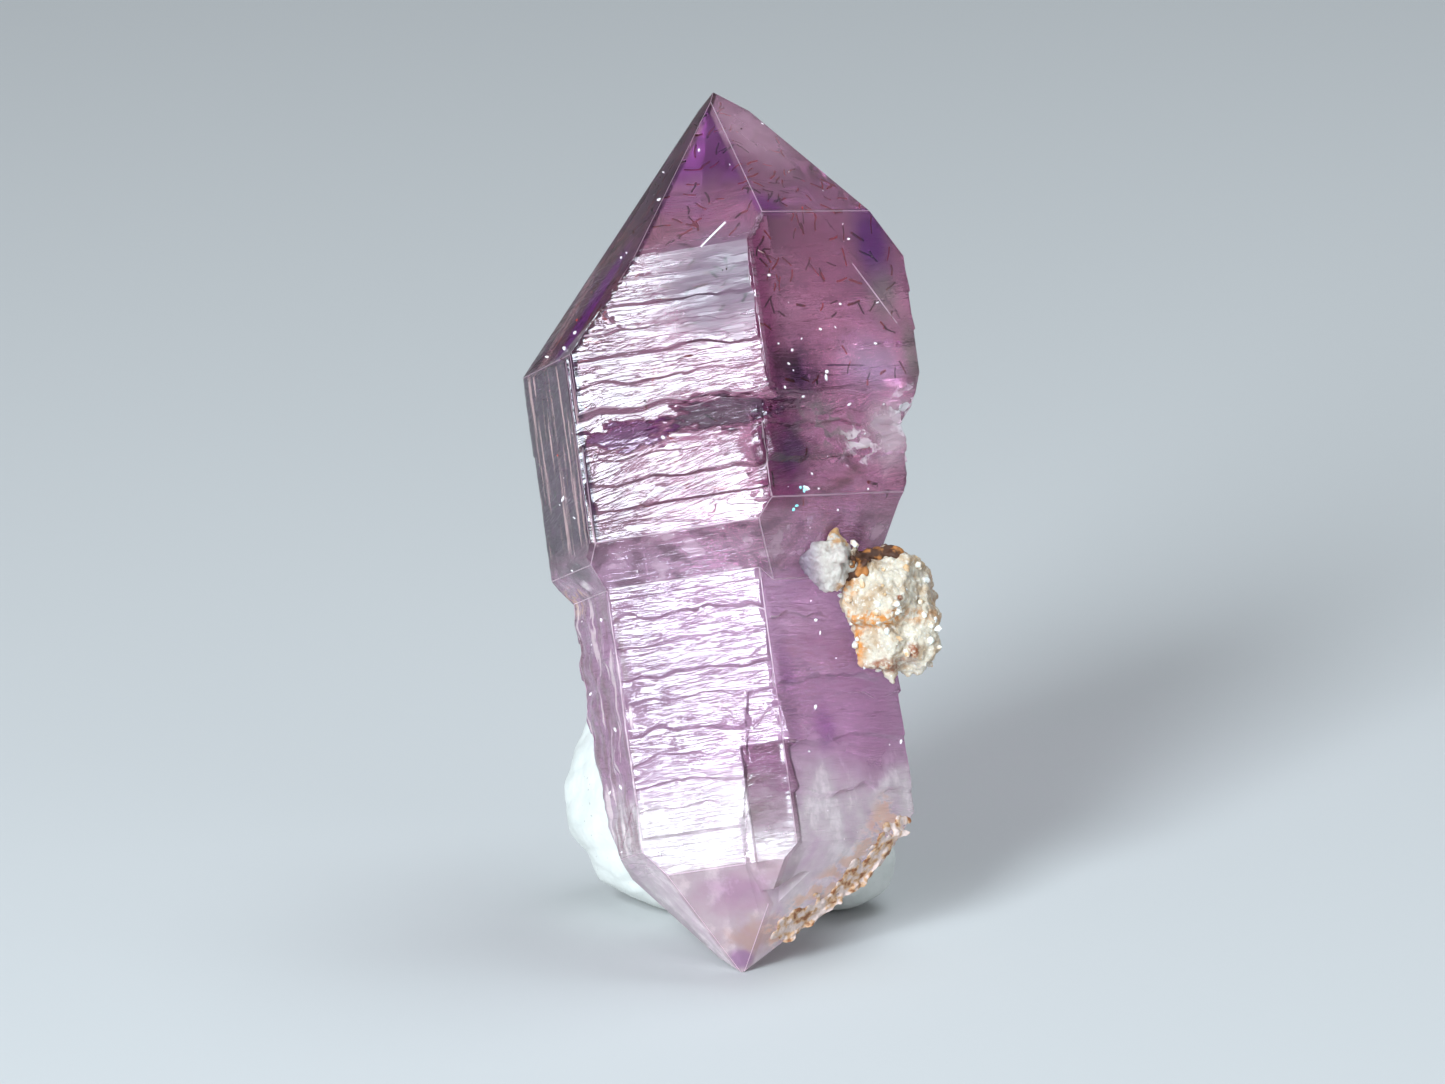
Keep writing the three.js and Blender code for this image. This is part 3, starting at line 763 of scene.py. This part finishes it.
cream = Finish("sugary_cream")
spot = crystal_measure(cream)
mottle = cream.noise(spot, 1.3, 4.0)
fleck = cream.noise(spot, 5.5, 3.0)
colour = cream.mix(cream.rise(mottle, 0.42, 0.68), (0.61, 0.54, 0.44, 1), (0.47, 0.33, 0.21, 1))
colour = cream.mix(cream.rise(fleck, 0.56, 0.66) * 0.7, colour, (0.77, 0.72, 0.66, 1))
colour = cream.mix(cream.rise(fleck, 0.30, 0.40) * -0.5 + 0.5, colour, (0.36, 0.27, 0.20, 1))


def stain(middle, sizes, strength, shade, grain=1.6, soft=0.7):
    """Lays a ragged stain over the cream."""
    global colour
    streaky = cream.rise(cream.noise(spot, 3.4, 4.0, 0.65), 0.38, 0.58)
    colour = cream.mix(cream.patch(spot, middle, sizes, 0.7, grain, soft) * streaky * strength, colour, shade)


ORANGE = (0.60, 0.23, 0.04, 1)
RED_BROWN = (0.26, 0.07, 0.02, 1)
DARK_BROWN = (0.07, 0.022, 0.008, 1)
stain((7.8, -2.6, 13.95), (1.9, 2.6, 0.4), 1.0, ORANGE)
stain((9.6, -1.2, 13.9), (1.2, 2.0, 0.4), 0.8, (0.50, 0.26, 0.12, 1))
stain((6.7, -1.9, 13.1), (0.4, 1.5, 1.3), 1.0, ORANGE)
stain((6.6, -2.4, 15.6), (0.5, 1.2, 0.7), 0.9, ORANGE)
stain((7.8, -1.8, 12.0), (1.2, 1.6, 0.35), 0.9, RED_BROWN)
stain((9.1, -1.9, 12.5), (0.35, 0.8, 0.4), 1.0, RED_BROWN)
stain((10.3, 0.0, 15.4), (0.7, 1.4, 1.5), 0.8, (0.40, 0.20, 0.12, 1))
stain((8.1, -1.6, 16.9), (1.8, 2.0, 0.45), 1.2, RED_BROWN)
stain((7.7, -1.4, 17.1), (1.4, 2.0, 0.4), 1.2, DARK_BROWN)
stain((7.0, -2.5, 16.3), (0.5, 1.0, 0.45), 1.2, DARK_BROWN)
stain((8.8, -2.9, 14.7), (0.18, 0.3, 0.14), 1.2, RED_BROWN, 1.0, 0.4)
bump = cream.add("Bump", None, {"Strength": 0.7, "Distance": 0.05 * MM, "Height": cream.noise(spot, 11.0, 5.0)})
stone = cream.add("BsdfPrincipled", None, {
    "Base Color": colour,
    "Roughness": 0.25 + mottle * 0.35,
    "Subsurface Weight": 0.3,
    "Subsurface Radius": (1.0, 0.75, 0.5),
    "Subsurface Scale": 0.4 * MM,
    "Normal": bump,
})
cream.wear(cluster, stone)
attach(cluster, "root")
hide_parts("matrix_cluster")

# The small white crystal at the cluster's upper left: cloudy quartz, worn round, with one small
# tan-edged peak. Round it stand the cluster's smallest grains and stubby clear crystals.

bpy.ops.object.select_all(action="DESELECT")
bpy.ops.mesh.primitive_ico_sphere_add(subdivisions=1, radius=1.1 * MM)
bpy.context.object.scale = (1.15, 0.7, 0.95)
bpy.context.object.rotation_euler = (0.2, 0.5, 0.1)
round_body = bpy.context.object
bpy.ops.mesh.primitive_cone_add(
    vertices=4, radius1=1.15 * MM, radius2=0.06 * MM, depth=1.5 * MM,
    location=(0.34 * MM, 0.1 * MM, 0.7 * MM), rotation=(0, 0.24, 0.5),
)
peak = bpy.context.object
bpy.ops.mesh.primitive_cone_add(
    vertices=5, radius1=1.0 * MM, radius2=0.3 * MM, depth=1.3 * MM,
    location=(0.08 * MM, 0, -0.6 * MM), rotation=(3.1, 0.05, 0.5),
)
foot = bpy.context.object
take_up(round_body, peak, foot)
bpy.ops.object.join()
white_crystal = bpy.context.object
white_crystal.name = white_crystal.data.name = "White_Crystal"
bpy.ops.object.transform_apply(location=True, rotation=True, scale=True)
melt(white_crystal, 0.05, 2)
white_crystal.matrix_world = (
    Matrix.Translation(in_crystal(5.95, -2.75, 16.6)) @ leaning @ Matrix.Rotation(math.radians(4), 4, "Y")
)
take_up(white_crystal)
bpy.ops.object.transform_apply(location=True, rotation=True, scale=True)
white_faces = relief("white_crystal_faces", "VORONOI", distance_metric="MANHATTAN")
push(white_crystal, white_faces, 0.22, (0.6, 0.6, 0.6))
push(white_crystal, relief("white_crystal_pits", "CLOUDS", noise_depth=2), 0.14, (0.2, 0.2, 0.2))
take_up(white_crystal)
bpy.ops.object.shade_smooth_by_angle(angle=math.radians(40))

cloudy = Finish("cloudy_quartz")
spot = crystal_measure(cloudy)
clouds = cloudy.noise(spot, 2.6, 5.0, 0.65)
colour = cloudy.mix(cloudy.rise(clouds, 0.4, 0.7), (0.62, 0.57, 0.52, 1), (0.45, 0.37, 0.34, 1))
colour = cloudy.mix(1 - cloudy.rise(cloudy.part(spot, 0), 4.9, 5.9), colour, (0.44, 0.34, 0.43, 1))
tan_edge = cloudy.patch(spot, (6.6, -2.4, 17.7), (0.8, 1.2, 0.6), 0.6, 2.5)
tan_edge = tan_edge + cloudy.patch(spot, (6.5, -2.8, 15.2), (0.6, 0.8, 0.5), 0.6, 2.5)
colour = cloudy.mix(tan_edge * cloudy.rise(clouds, 0.4, 0.55), colour, (0.55, 0.30, 0.13, 1))
dents = cloudy.add("Bump", None, {
    "Strength": 0.8, "Distance": 0.06 * MM, "Height": cloudy.noise(spot, 6.0, 5.0, 0.65),
})
milky = cloudy.add("BsdfPrincipled", None, {
    "Base Color": colour,
    "Roughness": 0.45 + clouds * 0.2,
    "Subsurface Weight": 0.6,
    "Subsurface Radius": (1.0, 0.8, 0.8),
    "Subsurface Scale": 0.6 * MM,
    "Normal": dents,
})
clear = cloudy.add("BsdfPrincipled", None, {
    "Base Color": (0.93, 0.92, 0.93, 1),
    "Roughness": 0.12,
    "IOR": QUARTZ_IOR,
    "Transmission Weight": 1.0,
    "Normal": dents,
})
clear_left = 1 - cloudy.rise(cloudy.part(spot, 0), 4.7, 6.0)
share_clear = clear_left * 0.55 + 0.12
cloudy.wear(white_crystal, cloudy.add("MixShader", None, {0: share_clear, 1: milky, 2: clear}))
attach(white_crystal, "root")
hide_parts("matrix_cluster")

bpy.ops.object.select_all(action="DESELECT")
bpy.ops.mesh.primitive_cylinder_add(vertices=6, radius=0.13 * MM, depth=0.3 * MM)
stub = bpy.context.object
highest = max(stub.data.polygons, key=lambda face: face.center.z).index
select_faces(stub, lambda face: face.index == highest)
bpy.ops.mesh.extrude_region_move(TRANSFORM_OT_translate={"value": (0, 0, 0.12 * MM)})
bpy.ops.transform.resize(value=(0.15, 0.15, 1), center_override=(0, 0, 0))
bpy.ops.object.mode_set(mode="OBJECT")
cluster_skin = BVHTree.FromObject(cluster, bpy.context.evaluated_depsgraph_get())
stub_places = []
while len(stub_places) < 110:
    point = in_crystal(chance.uniform(5.5, 11), chance.uniform(-4.5, 1.5), chance.uniform(11, 18.5))
    surface, normal, _, _ = cluster_skin.find_nearest(point)
    if (surface - point).length < 0.5 * MM and depth_at(surface)[0] < -0.05:
        size = chance.uniform(0.5, 1.1) ** 2
        turn = facing(normal + stray(0.5))
        sunk = Matrix.Translation(surface - normal * 0.06 * MM)
        stub_places.append(sunk @ turn @ Matrix.Diagonal((size, size, size, 1)))
stubs = strewn(stub, "Stubby_Crystals", stub_places)
sugar = Finish("clear_grains")
spot = crystal_measure(sugar)
rusty_share = sugar.rise(sugar.noise(spot, 1.4, 3.0), 0.4, 0.62)
sugar.wear(stubs, sugar.add("BsdfPrincipled", None, {
    "Base Color": sugar.mix(rusty_share, (0.88, 0.87, 0.82, 1), (0.62, 0.40, 0.22, 1)),
    "Roughness": 0.25 + sugar.noise(spot, 3.0) * 0.25,
    "IOR": QUARTZ_IOR,
    "Subsurface Weight": 0.5,
    "Subsurface Radius": (1.0, 0.8, 0.6),
    "Subsurface Scale": 0.3 * MM,
}))
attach(stubs, "root")

# The crusts: flat, ragged patches of tan and rust brown clay on the crystal's lower right edge,
# and a thicker dark brown one along the cluster's top, each a fraction of a millimetre thick.

bpy.ops.object.select_all(action="DESELECT")
bpy.ops.mesh.primitive_ico_sphere_add(subdivisions=2, radius=0.5 * MM)
lump = bpy.context.object
crust_places = []
EDGE_LINE = (
    (7.55, 0.83, 5.13), (6.9, 0.9, 4.3), (5.9, 1.1, 3.4), (4.7, 0.9, 2.6), (3.4, 0.4, 1.9), (2.2, -0.2, 1.3),
)
CLUSTER_LINE = (
    (6.75, -2.7, 15.8), (7.1, -2.6, 16.2), (7.4, -2.2, 16.6), (7.9, -1.7, 16.9), (8.5, -1.7, 16.9),
    (9.2, -1.7, 16.6),
)
for line, skin, count, spread, thick in (
    (EDGE_LINE, crystal_skin, 400, 0.42, 0.13), (CLUSTER_LINE, cluster_skin, 50, 0.16, 0.3),
):
    for _ in range(count):
        piece_of_way = chance.uniform(0, len(line) - 1.001)
        first, second = (Vector(line[int(piece_of_way) + more]) for more in (0, 1))
        middle = first.lerp(second, piece_of_way % 1) + stray() * spread
        surface, normal, _, _ = skin.find_nearest(in_crystal(*middle))
        size = chance.uniform(0.25, 0.85)
        turn = facing(normal) @ Matrix.Rotation(chance.uniform(0, ALL_ROUND), 4, "Z")
        flat = Matrix.Diagonal((size, size * chance.uniform(0.4, 0.9), thick, 1))
        crust_places.append(Matrix.Translation(surface) @ turn @ flat)
crust_piece = strewn(lump, "Rusty_Crust", crust_places)
melt(crust_piece, 0.045, 18)
push(crust_piece, relief("crust_lumps", "CLOUDS", noise_depth=2), 0.12, (0.35, 0.35, 0.35))
take_up(crust_piece)
bpy.ops.object.shade_smooth_by_angle(angle=math.radians(40))

clay_crust = Finish("rusty_crust")
spot = crystal_measure(clay_crust)
mottle = clay_crust.noise(spot, 2.4, 4.0)
colour = clay_crust.mix(clay_crust.rise(mottle, 0.34, 0.46), (0.26, 0.09, 0.03, 1), (0.56, 0.34, 0.20, 1))
colour = clay_crust.mix(clay_crust.rise(mottle, 0.44, 0.56), colour, (0.64, 0.50, 0.46, 1))
on_cluster = clay_crust.rise(clay_crust.part(spot, 2), 12.0, 13.0)
rusty_share = clay_crust.rise(clay_crust.noise(spot, 2.0, 4.0), 0.48, 0.62)
brown = clay_crust.mix(rusty_share, (0.06, 0.018, 0.006, 1), (0.42, 0.16, 0.04, 1))
colour = clay_crust.mix(on_cluster, colour, brown)
clay_crust.wear(crust_piece, clay_crust.add("BsdfPrincipled", None, {
    "Base Color": colour,
    "Roughness": 0.5 + mottle * 0.3,
    "Normal": clay_crust.add("Bump", None, {
        "Strength": 0.6, "Distance": 0.03 * MM, "Height": clay_crust.noise(spot, 12.0, 4.0),
    }),
}))
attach(crust_piece, "root")

# The putty: a lump of soft white putty, pressed flat on the surface below and round the
# crystal's back, with shallow finger dents. A thin gap keeps it off the crystal all round.

PUTTY_GAP = 0.15
PUTTY_SET_BACK = 0.2
putty = merged_copy("putty_stand", "Putty_Stand")
bpy.ops.object.select_all(action="DESELECT")
bpy.ops.mesh.primitive_uv_sphere_add(
    segments=32, ring_count=16, radius=2.95 * MM, location=(4.3 * MM, 1.9 * MM, 2.95 * MM),
)
side_lump = bpy.context.object
take_up(putty, side_lump)
bpy.ops.object.join()
melt(putty, 0.15, 6)
for vertex in putty.data.vertices:
    depth_below, normal = depth_at(vertex.co)
    if vertex.co.x > 1.5 * MM and depth_below > -PUTTY_GAP:
        vertex.co += normal * (depth_below + PUTTY_GAP) * MM
free_side = putty.vertex_groups.new(name="free_side")
for vertex in putty.data.vertices:
    clear = crystal_skin.find_nearest(vertex.co)[3] / MM / 1.5
    free_side.add([vertex.index], min(1, clear, vertex.co.z / MM / 1.5), "REPLACE")
push(putty, relief("finger_dents", "CLOUDS", noise_depth=0), 0.7, (3.4, 3.4, 3.0), "free_side")
push(putty, relief("creases", "VORONOI"), -0.35, (2.6, 2.6, 1.3), "free_side")
push(putty, relief("skin", "CLOUDS", noise_depth=2), 0.1, (0.8, 0.8, 0.8), "free_side")
for _ in range(5):
    for vertex in putty.data.vertices:
        surface, normal, _, distance = crystal_skin.find_nearest(vertex.co)
        clearance = (vertex.co - surface).dot(normal)
        if distance < 0.5 * MM and clearance < PUTTY_GAP * MM:
            vertex.co += normal * (PUTTY_SET_BACK * MM - clearance)
take_up(putty)
bpy.ops.object.shade_smooth()

white_putty = Finish("white_putty")
spot = white_putty.add("VectorMath", {"operation": "SCALE"}, {
    0: white_putty.add("TexCoord", gives="Object"), "Scale": 1 / MM,
})
soil = white_putty.noise(spot, 0.6, 5.0)
colour = white_putty.mix(white_putty.rise(soil, 0.4, 0.75), (0.70, 0.71, 0.68, 1), (0.62, 0.64, 0.61, 1))
dust = white_putty.rise(white_putty.noise(spot, 6.0, 2.0), 0.68, 0.74)
colour = white_putty.mix(dust * 0.6, colour, (0.30, 0.26, 0.24, 1))
ridges = white_putty.add("TexWave", {"wave_type": "RINGS", "rings_direction": "Y"}, {
    "Vector": spot, "Scale": 0.9, "Distortion": 3.0, "Detail": 1.0, "Detail Scale": 0.4,
}, gives="Fac")
pressed = white_putty.rise(white_putty.noise(spot, 0.25, 1.0), 0.5, 0.6)
skin = white_putty.noise(spot, 2.6, 5.0) + ridges * pressed * 0.35
bump = white_putty.add("Bump", None, {"Strength": 0.6, "Distance": 0.06 * MM, "Height": skin})
clay = white_putty.add("BsdfPrincipled", None, {
    "Base Color": colour,
    "Roughness": 0.7 + soil * 0.2,
    "Normal": bump,
})
white_putty.wear(putty, clay)
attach(putty, "root")
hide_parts("putty_stand")

# The stage: a plain pale floor, soft studio light, and the camera in front and a little above.

bpy.ops.mesh.primitive_plane_add(size=4)
floor = bpy.context.object
floor.name = "Floor"
pale = Finish("pale_floor")
pale.wear(floor, pale.add("BsdfPrincipled", None, {"Base Color": (0.62, 0.62, 0.62, 1), "Roughness": 0.8}))

world = bpy.data.worlds.new("pale_room")
world.use_nodes = True
world.node_tree.nodes["Background"].inputs["Color"].default_value = (0.92, 0.95, 1.0, 1)
world.node_tree.nodes["Background"].inputs["Strength"].default_value = 0.2
bpy.context.scene.world = world


LIGHT_DISTANCE = 0.45


def softbox(name, direction, width, height, radiance):
    """A soft light that shines on the crystal from a direction."""
    light = bpy.data.lights.new(name, "AREA")
    light.shape = "RECTANGLE"
    light.size = width
    light.size_y = height
    light.energy = radiance * math.pi * width * height
    light.color = (0.82, 0.93, 1.0)
    lamp = bpy.data.objects.new(name, light)
    bpy.context.collection.objects.link(lamp)
    towards = Vector(direction).normalized()
    lamp.location = in_crystal(1, 0, 18) + towards * LIGHT_DISTANCE
    lamp.rotation_euler = towards.to_track_quat("Z", "Y").to_euler()


softbox("key_light", (-0.44, -0.84, 0.40), 0.135, 0.28, 28.0)
softbox("fill_light", (0.64, -0.72, 0.22), 0.25, 0.25, 1.5)
softbox("top_light", (0.35, 0.15, 1.0), 0.28, 0.28, 4.0)

camera = bpy.data.objects.new("camera", bpy.data.cameras.new("camera"))
bpy.context.collection.objects.link(camera)
camera.location = Vector((-0.408, -387.02, 120.65)) * MM
camera.rotation_euler = (math.radians(75), 0, 0)
camera.data.sensor_width = 36
camera.data.lens = 233.2
camera.data.clip_start = 0.01
bpy.context.scene.camera = camera
bpy.context.scene.view_settings.view_transform = "Standard"
